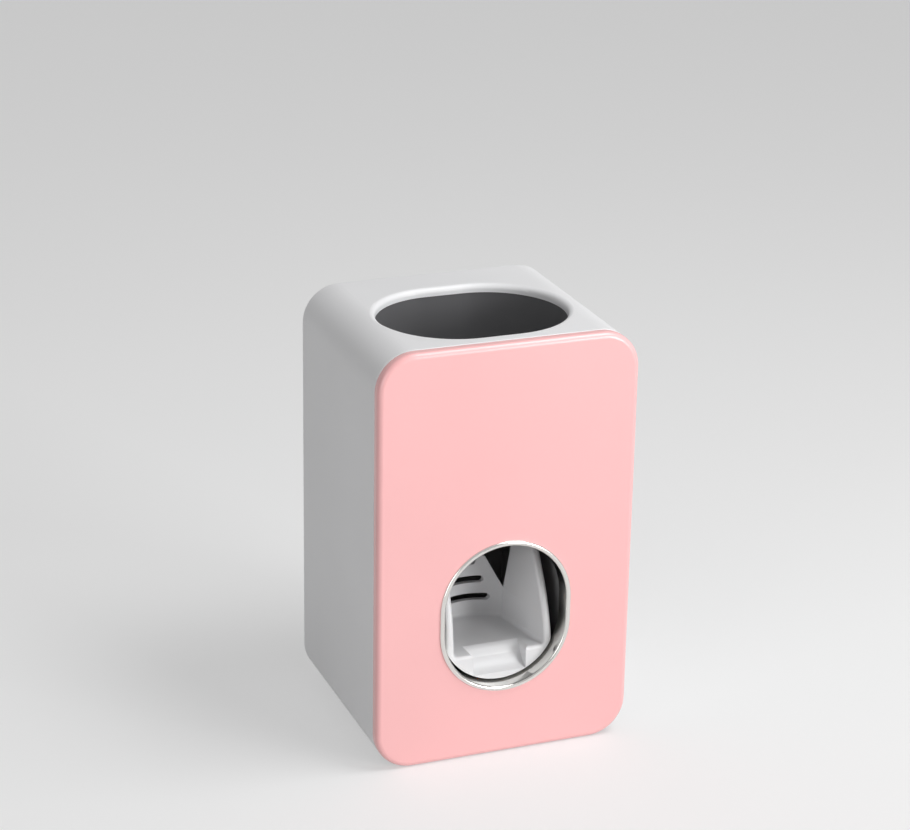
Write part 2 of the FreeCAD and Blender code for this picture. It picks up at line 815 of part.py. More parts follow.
def notch():
    """Channel in the front step that swings up to the floor in a soft double curve."""
    x = -notch_half

    def point(y, rise):
        return FreeCAD.Vector(x, y, up(rise))

    front = point(scoop_front, notch_rise)
    bend = point(-body_reach + notch_bend_depth, notch_bend_rise)
    end = point(-body_reach + notch_end_depth, floor_rise(notch_end_depth))
    sag = FreeCAD.Vector(0, 0, notch_bend_sag)
    hollow = Part.Arc(front, front.add(bend).multiply(1 / 2).sub(sag), bend).toShape()
    crown = Part.Arc(bend, bend.add(end).multiply(1 / 2).add(sag), end).toShape()
    ahead = scoop_front - overrun
    over_z = upper_rise
    rest = [end, point(end.y, over_z), point(ahead, over_z), point(ahead, notch_rise), front]
    wire = Part.Wire([hollow, crown] + Part.makePolygon(rest).Edges)
    return Part.Face(wire).extrude(FreeCAD.Vector(2 * notch_half, 0, 0))


def slot_cutter(rise, half):
    """Level slot with round ends through the back wall."""
    radius = slot_gap_height / 2
    z = up(rise) + radius
    y0 = scoop_corner_y - overrun / 2
    middle = box(radius - half, half - radius, y0, 0, z - radius, z + radius)
    ends = [rod_y(side * (half - radius), z, radius, y0, 0) for side in (-1, 1)]
    return middle.fuse(ends).removeSplitter()


def arm_front_edges(lever):
    """Edges of the ledges and of the curved front face that the side walls end in."""
    low = up(floor_front_rise) - ring_lip
    high = up(edge_end_rise) - ring_lip
    rear = edge_y(edge_end_rise) + ring_lip
    spans = [(edge, edge.BoundBox) for edge in lever.Edges]
    return [edge for edge, span in spans if low < span.ZMin < high and span.YMax < rear]


def push_lever():
    inside = scoop_core(0, 0)
    outside = scoop_core(arm_thickness, scoop_back_wall)
    cavity = inside.common(floor_plane_above())
    floor_top = up(floor_front_rise) + overrun / 2
    low_edges = [e for e in cavity.Edges if e.BoundBox.ZMax < floor_top]
    cavity = cavity.makeFillet(floor_rounding, [e for e in low_edges if e.BoundBox.YLength > overrun / 2])
    shell = outside.common(side_outline()).cut(cavity)
    tongue = outside.common(tongue_outline()).cut(inside)
    lever = shell.fuse(tongue).common(scoop_bottom()).cut(notch())
    for rise, half in (
        (slot_low_rise, slot_low_half),
        (slot_mid_rise, slot_mid_half),
        (slot_high_rise, slot_high_half),
    ):
        lever = lever.cut(slot_cutter(rise, half))
    pocket_front = -body_reach + notch_end_depth + pocket_inset
    pocket_rear = scoop_corner_y - pocket_inset
    pocket_half = scoop_rear_half
    pocket_top = up(floor_rear_rise) - pocket_inset
    lever = lever.cut(
        box(-pocket_half, pocket_half, pocket_front, pocket_rear, up(0), pocket_top)
    )
    lever = lever.removeSplitter()
    lever = lever.makeFillet(front_edge_rounding, arm_front_edges(lever))
    bar_y = pump_y - pump_radius - bar_gap - bar_radius
    bar_end = arm_half + arm_thickness / 2
    added = [rod_x(bar_y, up(bar_rise), bar_radius, -bar_end, bar_end)]
    holes = []
    for side in (-1, 1):
        x0, x1 = sorted([side * arm_half, side * arm_outer])
        added.append(rod_x(pivot_y, up(pivot_rise), pivot_boss_radius, x0, x1))
        hole_radius = pin_radius + pin_clearance
        holes.append(rod_x(pivot_y, up(pivot_rise), hole_radius, x0 - overrun, x1 + overrun))
    return lever.fuse(added).cut(holes[0].fuse(holes[1])).removeSplitter()


def front_panel():
    plate = block(body_width, body_height, corner_radius, -body_reach, panel_back)
    plate = plate.makeFillet(panel_rounding, edges_in_plane(plate, 1, -body_reach))
    plate = plate.makeFillet(rim_edge_rounding, edges_in_plane(plate, 1, panel_back))
    seat_width = ring_width - 2 * ring_lip + 2 * ring_seat_clearance
    seat_height = ring_height - 2 * ring_lip + 2 * ring_seat_clearance
    window = oval_y(
        seat_width, seat_height, up(window_rise), -body_reach - overrun, panel_back + overrun
    )
    plate = plate.cut(window)
    skirt_end = panel_back + skirt_length
    side = inner_width / 2 - skirt_clearance
    level = inner_height / 2 - skirt_clearance
    skirt_side = body_width / 2 - skirt_end_room
    skirt_level = body_height / 2 - skirt_end_room
    pieces = []
    for sign in (-1, 1):
        x0, x1 = sorted([sign * side, sign * (side - skirt_thickness)])
        pieces.append(box(x0, x1, panel_back, skirt_end, -skirt_level, skirt_level))
        z0, z1 = sorted([sign * level, sign * (level - skirt_thickness)])
        pieces.append(box(-skirt_side, skirt_side, panel_back, skirt_end, z0, z1))
    for x, z in corners():
        pieces.append(rod_y(x, z, peg_radius, panel_back, panel_back + peg_length))
    return plate.fuse(pieces).removeSplitter()


def window_ring():
    z = up(window_rise)
    sleeve_end = -body_reach + ring_sleeve_length
    front = -body_reach - ring_proud
    bead = oval_y(ring_width, ring_height, z, front, -body_reach)
    outer_w = ring_width - 2 * ring_lip
    outer_h = ring_height - 2 * ring_lip
    inner_w = outer_w - 2 * ring_sleeve_wall
    inner_h = outer_h - 2 * ring_sleeve_wall
    sleeve = oval_y(outer_w, outer_h, z, -body_reach, sleeve_end)
    hole = oval_y(inner_w, inner_h, z, front - overrun, sleeve_end + overrun)
    ring = bead.fuse(sleeve).cut(hole).removeSplitter()
    return ring.makeFillet(ring_rounding, edges_in_plane(ring, 1, front))


PIECES = {
    "wall_bracket": wall_bracket,
    "adhesive_pad": adhesive_pad,
    "outer_casing": outer_casing,
    "back_cover": back_cover,
    "back_cover_screws": back_cover_screws,
    "inner_frame": inner_frame,
    "frame_screws": frame_screws,
    "tube_well": tube_well,
    "neck_gasket": neck_gasket,
    "inlet_fitting": inlet_fitting,
    "inlet_valve": inlet_valve,
    "pump_tube": pump_tube,
    "pump_clamp_upper": pump_clamp_upper,
    "pump_clamp_lower": pump_clamp_lower,
    "outlet_valve": outlet_valve,
    "outlet_nozzle": outlet_nozzle,
    "pivot_pin_left": lambda: pivot_pin(-1),
    "pivot_pin_right": lambda: pivot_pin(1),
    "return_spring_left": lambda: return_spring(-1),
    "return_spring_right": lambda: return_spring(1),
    "push_lever": push_lever,
    "front_panel": front_panel,
    "window_ring": window_ring,
}

for name, make in PIECES.items():
    shape = make()
    shape.exportStep("parts/" + name + ".step")
    print(name, "solids", len(shape.Solids), "valid", shape.isValid(), "volume", round(shape.Volume))
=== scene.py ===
# %% [markdown]
# A wall-hung toothpaste dispenser
#
# This lesson dresses a small bathroom appliance: a white casing with a pink front panel, an oval
# window with a bright ring, and a white push lever behind it. The solid pieces come ready made
# as a fixed frame. Here they get their finishes, and the soft and wound pieces, which a plain
# solid can't show, are modelled in their place.

import math

import bmesh
import bpy
from mathutils import Euler, Matrix, Vector


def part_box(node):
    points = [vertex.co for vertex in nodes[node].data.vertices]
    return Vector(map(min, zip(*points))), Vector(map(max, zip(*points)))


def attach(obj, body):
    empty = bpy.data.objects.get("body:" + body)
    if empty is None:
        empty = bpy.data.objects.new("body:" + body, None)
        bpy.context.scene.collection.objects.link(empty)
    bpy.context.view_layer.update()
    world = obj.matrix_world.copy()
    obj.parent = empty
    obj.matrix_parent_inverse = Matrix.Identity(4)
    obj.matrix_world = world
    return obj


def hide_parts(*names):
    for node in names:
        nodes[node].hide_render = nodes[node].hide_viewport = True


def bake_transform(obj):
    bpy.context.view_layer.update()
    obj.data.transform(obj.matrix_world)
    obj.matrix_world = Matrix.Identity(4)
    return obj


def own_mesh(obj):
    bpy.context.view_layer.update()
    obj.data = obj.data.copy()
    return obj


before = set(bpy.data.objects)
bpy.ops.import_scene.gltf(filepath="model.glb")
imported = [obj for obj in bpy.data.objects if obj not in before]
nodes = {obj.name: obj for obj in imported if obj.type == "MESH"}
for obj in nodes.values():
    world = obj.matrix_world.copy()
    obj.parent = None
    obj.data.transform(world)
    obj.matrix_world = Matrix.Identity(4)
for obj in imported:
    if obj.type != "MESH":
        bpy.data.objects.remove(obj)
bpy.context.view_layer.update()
print("pieces in the frame:", len(nodes))

# %% [markdown]
# Everything is in metres, and the small sizes are easier to read in millimetres. The origin is on
# the wall, the panel faces -Y and +Z is up. The casing's lower edge is where the floor will be.

# %% Units and the casing's height
MM = 0.001
bottom, top = (corner.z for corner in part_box("outer_casing"))
print("casing height", round((top - bottom) / MM, 1), "mm")

# %% [markdown]
# The camera stands where the picture was taken from. Its place, its two angles and its slight
# roll were worked out from the casing's edges in the picture, and the long lens keeps the
# verticals nearly straight. The angles are turned into a rotation by hand, because a tracking
# constraint can't hold the roll.

# %% Camera
CAMERA_PLACE = Vector((-205.7, -543.9, 235.2)) * MM
CAMERA_TURN = 21.447
CAMERA_TILT = 20.816
CAMERA_ROLL = 0.983
CAMERA_LENS = 102.06
SENSOR_WIDTH = 36.0
NEAR_CLIP = 0.01

camera_data = bpy.data.cameras.new("camera")
camera_data.lens = CAMERA_LENS
camera_data.sensor_width = SENSOR_WIDTH
camera_data.clip_start = NEAR_CLIP
camera = bpy.data.objects.new("camera", camera_data)
sight = Euler((math.radians(90 - CAMERA_TILT), 0, -math.radians(CAMERA_TURN))).to_matrix()
roll = Matrix.Rotation(math.radians(CAMERA_ROLL), 3, "Z")
camera.matrix_world = Matrix.Translation(CAMERA_PLACE) @ (sight @ roll).to_4x4()
bpy.context.scene.collection.objects.link(camera)
bpy.context.scene.camera = camera
bpy.context.scene.view_settings.view_transform = "Standard"
print("camera is", round(CAMERA_PLACE.length, 3), "m from the wall's origin")

# %% [markdown]
# A finish is a small tree of shader nodes. Wiring nodes by hand hides the idea in bookkeeping, so
# one class wraps a socket and lets ordinary sums make the Math nodes. A second class is the
# bench on which one finish is put together: its node method makes every other kind of node.

# %% Shader sums as Python expressions
class Signal:
    """A number that varies over a surface: a node's output, ready for sums."""

    def __init__(self, bench, socket):
        self.bench = bench
        self.socket = socket

    def sum_node(self, operation, first, second):
        return self.bench.node("ShaderNodeMath", {"operation": operation}, {0: first, 1: second})

    def __add__(self, other):
        return self.sum_node("ADD", self, other)

    def __sub__(self, other):
        return self.sum_node("SUBTRACT", self, other)

    def __rsub__(self, other):
        return self.sum_node("SUBTRACT", other, self)

    def __mul__(self, other):
        return self.sum_node("MULTIPLY", self, other)

    __radd__ = __add__
    __rmul__ = __mul__


print("a signal can be added, subtracted and multiplied")

# %% [markdown]
# The bench keeps one node tree. Settings go on a node before its sockets are filled, because
# some of them change which sockets the node has. The other methods are short names for the few
# patterns that most finishes share: a soft noise, a mix of two colours, a fine relief.

# %% The bench for one finish
class Bench:
    """Puts together the node tree of one material or of the world."""

    def __init__(self, owner):
        owner.use_nodes = True
        self.tree = owner.node_tree
        self.tree.nodes.clear()

    def node(self, kind, settings=None, sockets=None, output=0):
        made = self.tree.nodes.new(kind)
        for name, value in (settings or {}).items():
            setattr(made, name, value)
        for name, value in (sockets or {}).items():
            if isinstance(value, Signal):
                self.tree.links.new(value.socket, made.inputs[name])
            else:
                made.inputs[name].default_value = value
        return Signal(self, made.outputs[output] if made.outputs else None)

    def place(self):
        """Each point's own place on its piece, in metres."""
        return self.node("ShaderNodeTexCoord", output=3)

    def noise(self, size, detail, stretch=None):
        """Soft cloudy pattern whose lumps are about size millimetres wide."""
        where = self.place()
        if stretch:
            where = self.node("ShaderNodeMapping", {}, {"Vector": where, "Scale": stretch})
        sockets = {"Vector": where, "Scale": 1 / (size * MM), "Detail": detail}
        return self.node("ShaderNodeTexNoise", {}, sockets)

    def between(self, signal, low, high):
        """Stretch a signal so that low becomes 0 and high becomes 1."""
        sockets = {"Value": signal, "From Min": low, "From Max": high}
        return self.node("ShaderNodeMapRange", {}, sockets)

    def mix(self, share, first, second):
        """Colour that turns from first to second as share goes from 0 to 1."""
        settings = {"data_type": "RGBA"}
        return self.node("ShaderNodeMix", settings, {0: share, 6: first, 7: second}, output=2)

    def relief(self, height, depth, strength):
        """Surface direction of a relief whose height signal spans depth millimetres."""
        sockets = {"Height": height, "Distance": depth * MM, "Strength": strength}
        return self.node("ShaderNodeBump", {}, sockets)

    def seen(self):
        """1 for what is seen straight or in a mirror or glass, and 0 for what only lights."""
        straight, mirrored, through = (
            self.node("ShaderNodeLightPath", output=ray)
            for ray in ("Is Camera Ray", "Is Glossy Ray", "Is Transmission Ray")
        )
        return self.node("ShaderNodeClamp", {}, {"Value": straight + mirrored + through})

    def finish(self, sockets):
        """Send the main shader, with its sockets filled, to the surface."""
        shader = self.node("ShaderNodeBsdfPrincipled", {}, sockets)
        self.node("ShaderNodeOutputMaterial", {}, {"Surface": shader})


def new_finish(name):
    material = bpy.data.materials.new(name)
    return material, Bench(material)


def grey(level):
    return (level, level, level, 1.0)


print("half grey is written", grey(0.5))

# %% [markdown]
# The stage is a plain pale floor at the casing's lower edge. It is very large, so that its far
# edge stays out of the picture, and it has a faint paper-like grain, because a perfectly even
# floor looks like a hole in the render. Its colour stays low, so that it throws little light up
# at the casing, and a small lift that only the camera and glossy skins see makes it pale.

# %% Floor
FLOOR_SIZE = 8.0
FLOOR_SHADE = 0.50
FLOOR_DRIFT = 0.01
FLOOR_LIFT = 0.40

floor_finish, bench = new_finish("floor_paper")
grain = bench.noise(1.2, detail=4.0)
clouds = bench.noise(260.0, detail=2.0)
darker = grey(FLOOR_SHADE - FLOOR_DRIFT)
lighter = grey(FLOOR_SHADE + FLOOR_DRIFT)
bench.finish({
    "Base Color": bench.mix(clouds, darker, lighter),
    "Emission Color": bench.mix(bench.seen(), grey(0.0), grey(FLOOR_LIFT)),
    "Emission Strength": 1.0,
    "Roughness": grain * 0.1 + 0.75,
    "Normal": bench.relief(grain, depth=0.02, strength=0.3),
})

floor_mesh = bpy.data.meshes.new("floor")
half = FLOOR_SIZE / 2
corners = [(x * half, y * half, bottom) for x, y in ((-1, -1), (1, -1), (1, 1), (-1, 1))]
floor_mesh.from_pydata(corners, [], [(0, 1, 2, 3)])
floor_mesh.materials.append(floor_finish)
floor = bpy.data.objects.new("floor", floor_mesh)
bpy.context.scene.collection.objects.link(floor)
print("floor is at", round(bottom / MM, 2), "mm")

# %% [markdown]
# The room is an even, weak sky: it keeps the shadows from going black and leaves the casing's
# left side in half shade. The camera and glossy skins, above all the polished ring, see a plain
# pale backdrop in its place, which adds nothing to the light that falls on matt surfaces.

# %% World
SKY = 0.23
BACKDROP = 0.58

world = bpy.data.worlds.new("studio")
bpy.context.scene.world = world
bench = Bench(world)
shown = bench.mix(bench.seen(), grey(SKY), grey(BACKDROP))
light = bench.node("ShaderNodeBackground", {}, {"Color": shown, "Strength": 1.0})
bench.node("ShaderNodeOutputWorld", {}, {"Surface": light})
print("sky lights at", SKY, "and shows as", BACKDROP)

# %% [markdown]
# Two lamps do most of the work. A large soft panel stands well in front, a little to the right,
# and makes the front bright. A small one hangs high over the front right edge, so that the top
# is brighter than the sides. A weak panel at the front left lifts the left side out of the
# shade and gives it a slow change from front to back.

# %% Studio lamps
def lamp(name, place, aim, size, power):
    """Soft rectangular lamp at a place, turned towards its aim; power is in watts."""
    data = bpy.data.lights.new(name, "AREA")
    data.shape = "RECTANGLE"
    data.size = size[0]
    data.size_y = size[1]
    data.energy = power
    piece = bpy.data.objects.new(name, data)
    turn = (Vector(aim) - Vector(place)).to_track_quat("-Z", "Y")
    piece.matrix_world = Matrix.Translation(place) @ turn.to_matrix().to_4x4()
    bpy.context.scene.collection.objects.link(piece)


middle = (0, -0.03, 0)
lamp("key", (0.20, -0.16, 0.42), middle, size=(0.22, 0.22), power=1.25)
lamp("right", (0.72, -1.13, 0.20), middle, size=(0.5, 0.6), power=11.4)
lamp("side", (-0.8, -0.6, 0.2), middle, size=(0.5, 0.6), power=2.1)

# %% [markdown]
# Most of the object is injection-moulded plastic. Its skin has a very fine orange-peel relief,
# its gloss is a little uneven from handling, and its colour drifts by a hair across a large
# face. One function makes every such finish, so that the white pieces differ only in what the
# mould-maker would change: colour, gloss and grain.

# %% Moulded plastic
HANDLED_SIZE = 14.0
STREAK_SIZE = 3.0
STREAK_STRETCH = (1.0, 1.0, 0.25)
PEEL_SIZE = 0.55
SHADE_SIZE = 38.0
PLASTIC_IOR = 1.53
PLASTIC_DEPTH = 1.2
COAT_ROUGHNESS = 0.25


def moulded(name, colour, gloss, peel=0.004, smear=0.06, drift=0.02, body=0.0, coat=0.0):
    """Plastic with the given colour; gloss is its mean roughness, peel its relief in mm.

    Smear and drift are how far gloss and colour wander. Body is the share of light that goes
    into the plastic, and coat the share of a clear skin. A noise is 0.5 on average, so the two
    that make the smear add 0.75 of it, which is taken off the gloss again.
    """
    material, bench = new_finish(name)
    handled = bench.noise(HANDLED_SIZE, detail=3.0)
    streaks = bench.noise(STREAK_SIZE, detail=4.0, stretch=STREAK_STRETCH)
    skin = bench.noise(PEEL_SIZE, detail=2.0)
    shade = bench.noise(SHADE_SIZE, detail=1.5)
    lighter = tuple(min(1.0, level * (1 + drift)) for level in colour) + (1.0,)
    darker = tuple(level * (1 - drift) for level in colour) + (1.0,)
    bench.finish({
        "Base Color": bench.mix(bench.between(shade, low=0.35, high=0.65), darker, lighter),
        "Roughness": handled * smear + streaks * (smear / 2) + (gloss - smear * 0.75),
        "IOR": PLASTIC_IOR,
        "Subsurface Weight": body,
        "Subsurface Radius": (1.0, 0.8, 0.7),
        "Subsurface Scale": PLASTIC_DEPTH * MM,
        "Coat Weight": coat,
        "Coat Roughness": COAT_ROUGHNESS,
        "Normal": bench.relief(skin, depth=peel, strength=0.5),
    })
    return material


print("orange peel is", PEEL_SIZE, "mm wide")

# %% [markdown]
# Now the plastics themselves. The lever is a little greyer and glossier than the casing and
# lets some light in; its greyer white is partly its own tone and partly painted shade for the
# window's shaded inside. The panel is the only piece with a clear coat, which gives its rounded
# edge a soft line of light. The hidden frame's dark grey is partly its own colour and partly
# painted shade, so that the window's depth stays dark.

# %% The plastics of this object
casing_white = moulded("casing_white", (0.84, 0.84, 0.85), gloss=0.40)
cover_white = moulded("cover_white", (0.80, 0.80, 0.80), gloss=0.45, peel=0.012)
bracket_white = moulded("bracket_white", (0.82, 0.82, 0.81), gloss=0.40, peel=0.010)
# The lever's greyer white is partly its own tone and partly painted shade for the window's shaded
# inside.
lever_white = moulded("lever_white", (0.73, 0.73, 0.74), gloss=0.34, body=0.05)
fitting_white = moulded("fitting_white", (0.78, 0.78, 0.76), gloss=0.35, body=0.1)
panel_pink = moulded("panel_pink", (0.95, 0.50, 0.50), gloss=0.38, drift=0.012, coat=0.6)
# The well's dark grey is painted shade for the shadowed inside of the well.
well_grey = moulded("well_grey", (0.13, 0.13, 0.135), gloss=0.38, peel=0.008)
# The frame's dark grey is partly its own colour and partly painted shade for the window's depth.
frame_dark = moulded("frame_dark", (0.24, 0.24, 0.244), gloss=0.5, peel=0.012)
print("each plastic's tree has", len(panel_pink.node_tree.nodes), "nodes")

# %% [markdown]
# The ring is plated: a thin bright metal skin on plastic. A mirror finish shows mostly what is
# round it, so its own detail is faint. Fine polishing lines run round it, and its gloss is
# broken by a few wipe marks.

# %% Plated ring
RING_POLISH = 0.12
WIPE_DULLS = 0.05
LINE_SQUEEZE = (1.0, 6.0, 1.0)

ring_chrome, bench = new_finish("ring_chrome")
wipes = bench.noise(5.0, detail=3.0)
lines = bench.noise(0.35, detail=2.0, stretch=LINE_SQUEEZE)
bench.finish({
    "Base Color": bench.mix(wipes, (0.74, 0.73, 0.70, 1.0), (0.80, 0.79, 0.765, 1.0)),
    "Metallic": 1.0,
    "Roughness": bench.between(wipes, low=0.3, high=0.8) * WIPE_DULLS + RING_POLISH,
    "Normal": bench.relief(lines, depth=0.002, strength=0.25),
})
print("ring roughness goes up to", round(RING_POLISH + WIPE_DULLS, 2))

# %% [markdown]
# Screws, pins and clamps are zinc-plated steel: greyer than the ring, a little rough, with
# a fine grain and faint stains. The spring wire is drawn, so its grain is finer and it is darker.

# %% Steel
STAINED = 0.82
GRAIN_DULLS = 0.18


def steel_finish(name, colour, roughness, grain_size):
    """Bare metal of the given colour, with a fine grain and faint stains."""
    material, bench = new_finish(name)
    grain = bench.noise(grain_size, detail=3.0)
    stain = bench.noise(2.5, detail=2.0)
    dull = tuple(level * STAINED for level in colour) + (1.0,)
    bench.finish({
        "Base Color": bench.mix(stain, dull, colour + (1.0,)),
        "Metallic": 1.0,
        "Roughness": grain * GRAIN_DULLS + (roughness - GRAIN_DULLS / 2),
        "Normal": bench.relief(grain, depth=0.006, strength=0.5),
    })
    return material


steel = steel_finish("steel", (0.66, 0.66, 0.65), roughness=0.32, grain_size=0.25)
spring_steel = steel_finish("spring_steel", (0.50, 0.49, 0.48), roughness=0.28, grain_size=0.15)
print("steel's grain moves its roughness by", GRAIN_DULLS)

# %% [markdown]
# Silicone rubber is milky: light goes a little way in and comes out again, and dust dulls its
# skin. Subsurface scattering gives the milky depth without the cost of real transparency.

# %% Silicone
SILICONE_IOR = 1.41
SILICONE_DEPTH = 1.5

silicone, bench = new_finish("silicone")
dust = bench.noise(1.6, detail=4.0)
cloud = bench.noise(6.0, detail=2.0)
bench.finish({
    "Base Color": bench.mix(cloud, (0.70, 0.71, 0.70, 1.0), (0.78, 0.79, 0.78, 1.0)),
    "Roughness": dust * 0.2 + 0.4,
    "IOR": SILICONE_IOR,
    "Subsurface Weight": 0.6,
    "Subsurface Radius": (1.0, 0.95, 0.9),
    "Subsurface Scale": SILICONE_DEPTH * MM,
    "Normal": bench.relief(dust, depth=0.01, strength=0.4),
})
print("light goes about", SILICONE_DEPTH, "mm into the silicone")

# %% [markdown]
# The wall pad is cut from grey foam tape. Foam shows as open cells: a Voronoi pattern makes
# their round mouths, which are sunk in by the relief and darkened with painted shade, and finer
# noise breaks up their walls.

# %% Foam
CELL_SIZE = 0.5
CRUMB_SIZE = 0.2

foam, bench = new_finish("foam")
sockets = {"Vector": bench.place(), "Scale": 1 / (CELL_SIZE * MM)}
cells = bench.node("ShaderNodeTexVoronoi", {}, sockets)
crumbs = bench.noise(CRUMB_SIZE, detail=3.0)
# The cell mouths are darkened with painted shade in the hollows, and the same signal sinks them
# as relief.
mouth_relief_and_painted_shade = 1 - bench.between(cells, low=0.1, high=0.5)
bench.finish({
    "Base Color": bench.mix(mouth_relief_and_painted_shade, grey(0.42), grey(0.16)),
    "Roughness": crumbs * 0.1 + 0.85,
    "Normal": bench.relief(crumbs * 0.3 - mouth_relief_and_painted_shade, depth=0.06, strength=0.8),
})
print("foam cells are", CELL_SIZE, "mm wide")

# %% [markdown]
# Each ready-made piece takes its finish here. Moulded edges are never razor sharp: where the
# solid has a plain corner, a Bevel modifier rounds it off by a few tenths, which catches the
# thin line of light that tells the eye how big the thing is.

# %% Dress the ready-made pieces
EDGE_ANGLE = 40
EDGE_STEPS = 2
dressed = []


def dress(name, finish, edge=0.0):
    """Give a ready-made piece its finish, and rounded edges of the given size in mm."""
    piece = nodes[name]
    piece.data.materials.clear()
    piece.data.materials.append(finish)
    if edge:
        bevel = piece.modifiers.new("edge", "BEVEL")
        bevel.width = edge * MM
        bevel.segments = EDGE_STEPS
        bevel.limit_method = "ANGLE"
        bevel.angle_limit = math.radians(EDGE_ANGLE)
        bevel.harden_normals = True
    dressed.append(name)


dress("outer_casing", casing_white)
dress("front_panel", panel_pink)
dress("window_ring", ring_chrome)
dress("push_lever", lever_white, 0.35)
dress("tube_well", well_grey, 0.25)
dress("inner_frame", frame_dark, 0.15)
dress("back_cover", cover_white, 0.25)
dress("wall_bracket", bracket_white, 0.3)
dress("inlet_fitting", fitting_white, 0.15)
dress("outlet_nozzle", fitting_white, 0.15)
for name in ("frame_screws", "back_cover_screws"):
    dress(name, steel, 0.1)
for name in ("pivot_pin_left", "pivot_pin_right"):
    dress(name, steel, 0.15)
print("dressed", len(dressed), "of", len(nodes), "ready-made pieces")

# %% [markdown]
# Nine pieces are soft, rolled or wound, and a plain solid shows them badly. Each is modelled
# again in the space of its solid and takes the solid's place; all but the two springs move with
# the solid's body. Smooth shading with a limit on the angle keeps its lips crisp.

# %% A modelled piece in a solid's place
CREASE_ANGLE = 35


def new_piece(name, mesh_maker, finish, body, replaced):
    """Piece from a finished mesh maker, which rides on a body and replaces ready-made ones."""
    mesh = bpy.data.meshes.new(name)
    mesh_maker.normal_update()
    bmesh.ops.recalc_face_normals(mesh_maker, faces=mesh_maker.faces)
    mesh_maker.to_mesh(mesh)
    mesh_maker.free()
    mesh.materials.append(finish)
    mesh.shade_smooth()
    mesh.set_sharp_from_angle(angle=math.radians(CREASE_ANGLE))
    piece = bpy.data.objects.new(name, mesh)
    bpy.context.scene.collection.objects.link(piece)
    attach(piece, body)
    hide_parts(*replaced)
    return piece


print("edges over", CREASE_ANGLE, "degrees stay crisp")

# %% [markdown]
# Round pieces are turned, as on a lathe: an outline of radius and height is spun about the
# pump's upright axis. The outline is closed, so the piece is a true shell with a bore.

# %% Turned pieces
def turned(axis_x, axis_y, outline, steps=96):
    """Mesh of a closed outline of (radius, height) points spun about an upright axis."""
    maker = bmesh.new()
    rings = []
    for step in range(steps):
        angle = 2 * math.pi * step / steps
        across = math.cos(angle)
        along = math.sin(angle)
        places = [(axis_x + r * across, axis_y + r * along, z) for r, z in outline]
        rings.append([maker.verts.new(place) for place in places])
    for step, ring in enumerate(rings):
        following = rings[(step + 1) % steps]
        for i in range(len(outline)):
            j = (i + 1) % len(outline)
            maker.faces.new((ring[i], following[i], following[j], ring[j]))
    return maker


gasket_low, gasket_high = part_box("neck_gasket")
pump_x = (gasket_low.x + gasket_high.x) / 2
pump_y = (gasket_low.y + gasket_high.y) / 2
print("the pump's axis is", round(-pump_y / MM, 1), "mm from the wall")

# %% [markdown]
# The neck gasket grips the neck of what is pushed into the well. A plain washer would leak, so
# its bore has three soft lips, and its flange has a raised bead that the neck's shoulder
# presses on.

# %% Neck gasket
GASKET_BODY = 9.0 * MM
GASKET_BORE = 6.5 * MM
FLANGE_HEIGHT = 1.2 * MM
LIP = 0.35 * MM
LIPS = 3
LIP_SHARE = 0.42
LIP_TURNS = (-1, -0.5, 0, 0.5, 1)
BEAD_STEPS = 6


def gasket_outline(low, high):
    """Closed outline: up the body, round the flange, over the bead and down the three lips."""
    flange_radius = (high.x - low.x) / 2
    shoulder = high.z - FLANGE_HEIGHT
    outline = [(GASKET_BODY - LIP, low.z), (GASKET_BODY, low.z + LIP), (GASKET_BODY, shoulder)]
    outline += [(flange_radius - LIP, shoulder), (flange_radius, shoulder + LIP)]
    outline += [(flange_radius, high.z - LIP), (flange_radius - LIP, high.z)]
    bead = (GASKET_BODY + flange_radius) / 2
    for step in range(BEAD_STEPS + 1):
        angle = math.pi * step / BEAD_STEPS
        outline.append((bead + LIP * math.cos(angle) * 2, high.z - LIP + LIP * math.sin(angle)))
    outline.append((GASKET_BORE + 2 * LIP, high.z - LIP))
    reach = (high.z - LIP) - low.z
    for lip in range(LIPS):
        crest = high.z - LIP - reach * (lip + 0.5) / LIPS
        for turn in LIP_TURNS:
            depth = LIP * math.cos(turn * math.pi / 2)
            height = crest - turn * reach * LIP_SHARE / LIPS
            outline.append((GASKET_BORE + LIP - depth, height))
    outline.append((GASKET_BORE + 2 * LIP, low.z))
    return outline


gasket = turned(pump_x, pump_y, gasket_outline(gasket_low, gasket_high))
new_piece("gasket_lips", gasket, silicone, "housing", ["neck_gasket"])
print("gasket spans", round((gasket_high.z - gasket_low.z) / MM, 2), "mm")

# %% [markdown]
# The pump is a short length of silicone tube. The lever's bar nips it in the middle, so it has
# a slightly thinner waist there.

# %% Pump tube
tube_low, tube_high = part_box("pump_tube")
TUBE_OUTER = (tube_high.x - tube_low.x) / 2
TUBE_WALL = 1.6 * MM
WAIST = 0.25 * MM


def tube_outline(steps=14):
    """Closed outline: up the outside with its waist, and down the straight bore."""
    span = tube_high.z - tube_low.z
    outer = []
    inner = []
    for step in range(steps + 1):
        share = step / steps
        pull = WAIST * math.sin(math.pi * share) ** 2
        outer.append((TUBE_OUTER - pull, tube_low.z + share * span))
        inner.append((TUBE_OUTER - TUBE_WALL, tube_low.z + share * span))
    return outer + inner[::-1]


tube = turned(pump_x, pump_y, tube_outline())
tube_piece = new_piece("soft_pump_tube", tube, silicone, "housing", ["pump_tube"])
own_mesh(tube_piece)
print("tube is", round(2 * TUBE_OUTER / MM, 1), "mm across")

# %% [markdown]
# A duckbill valve is a round collar that narrows to two flat lips. It is lofted here from
# rings: each ring is a circle pressed flat by a growing amount, and an inner skin follows it.

# %% Duckbill valves
BEAK_SLIT = 0.1 * MM
BEAK_LIP = 0.6 * MM
VALVE_WALL = 0.7 * MM
COLLAR_SHARE = 0.5


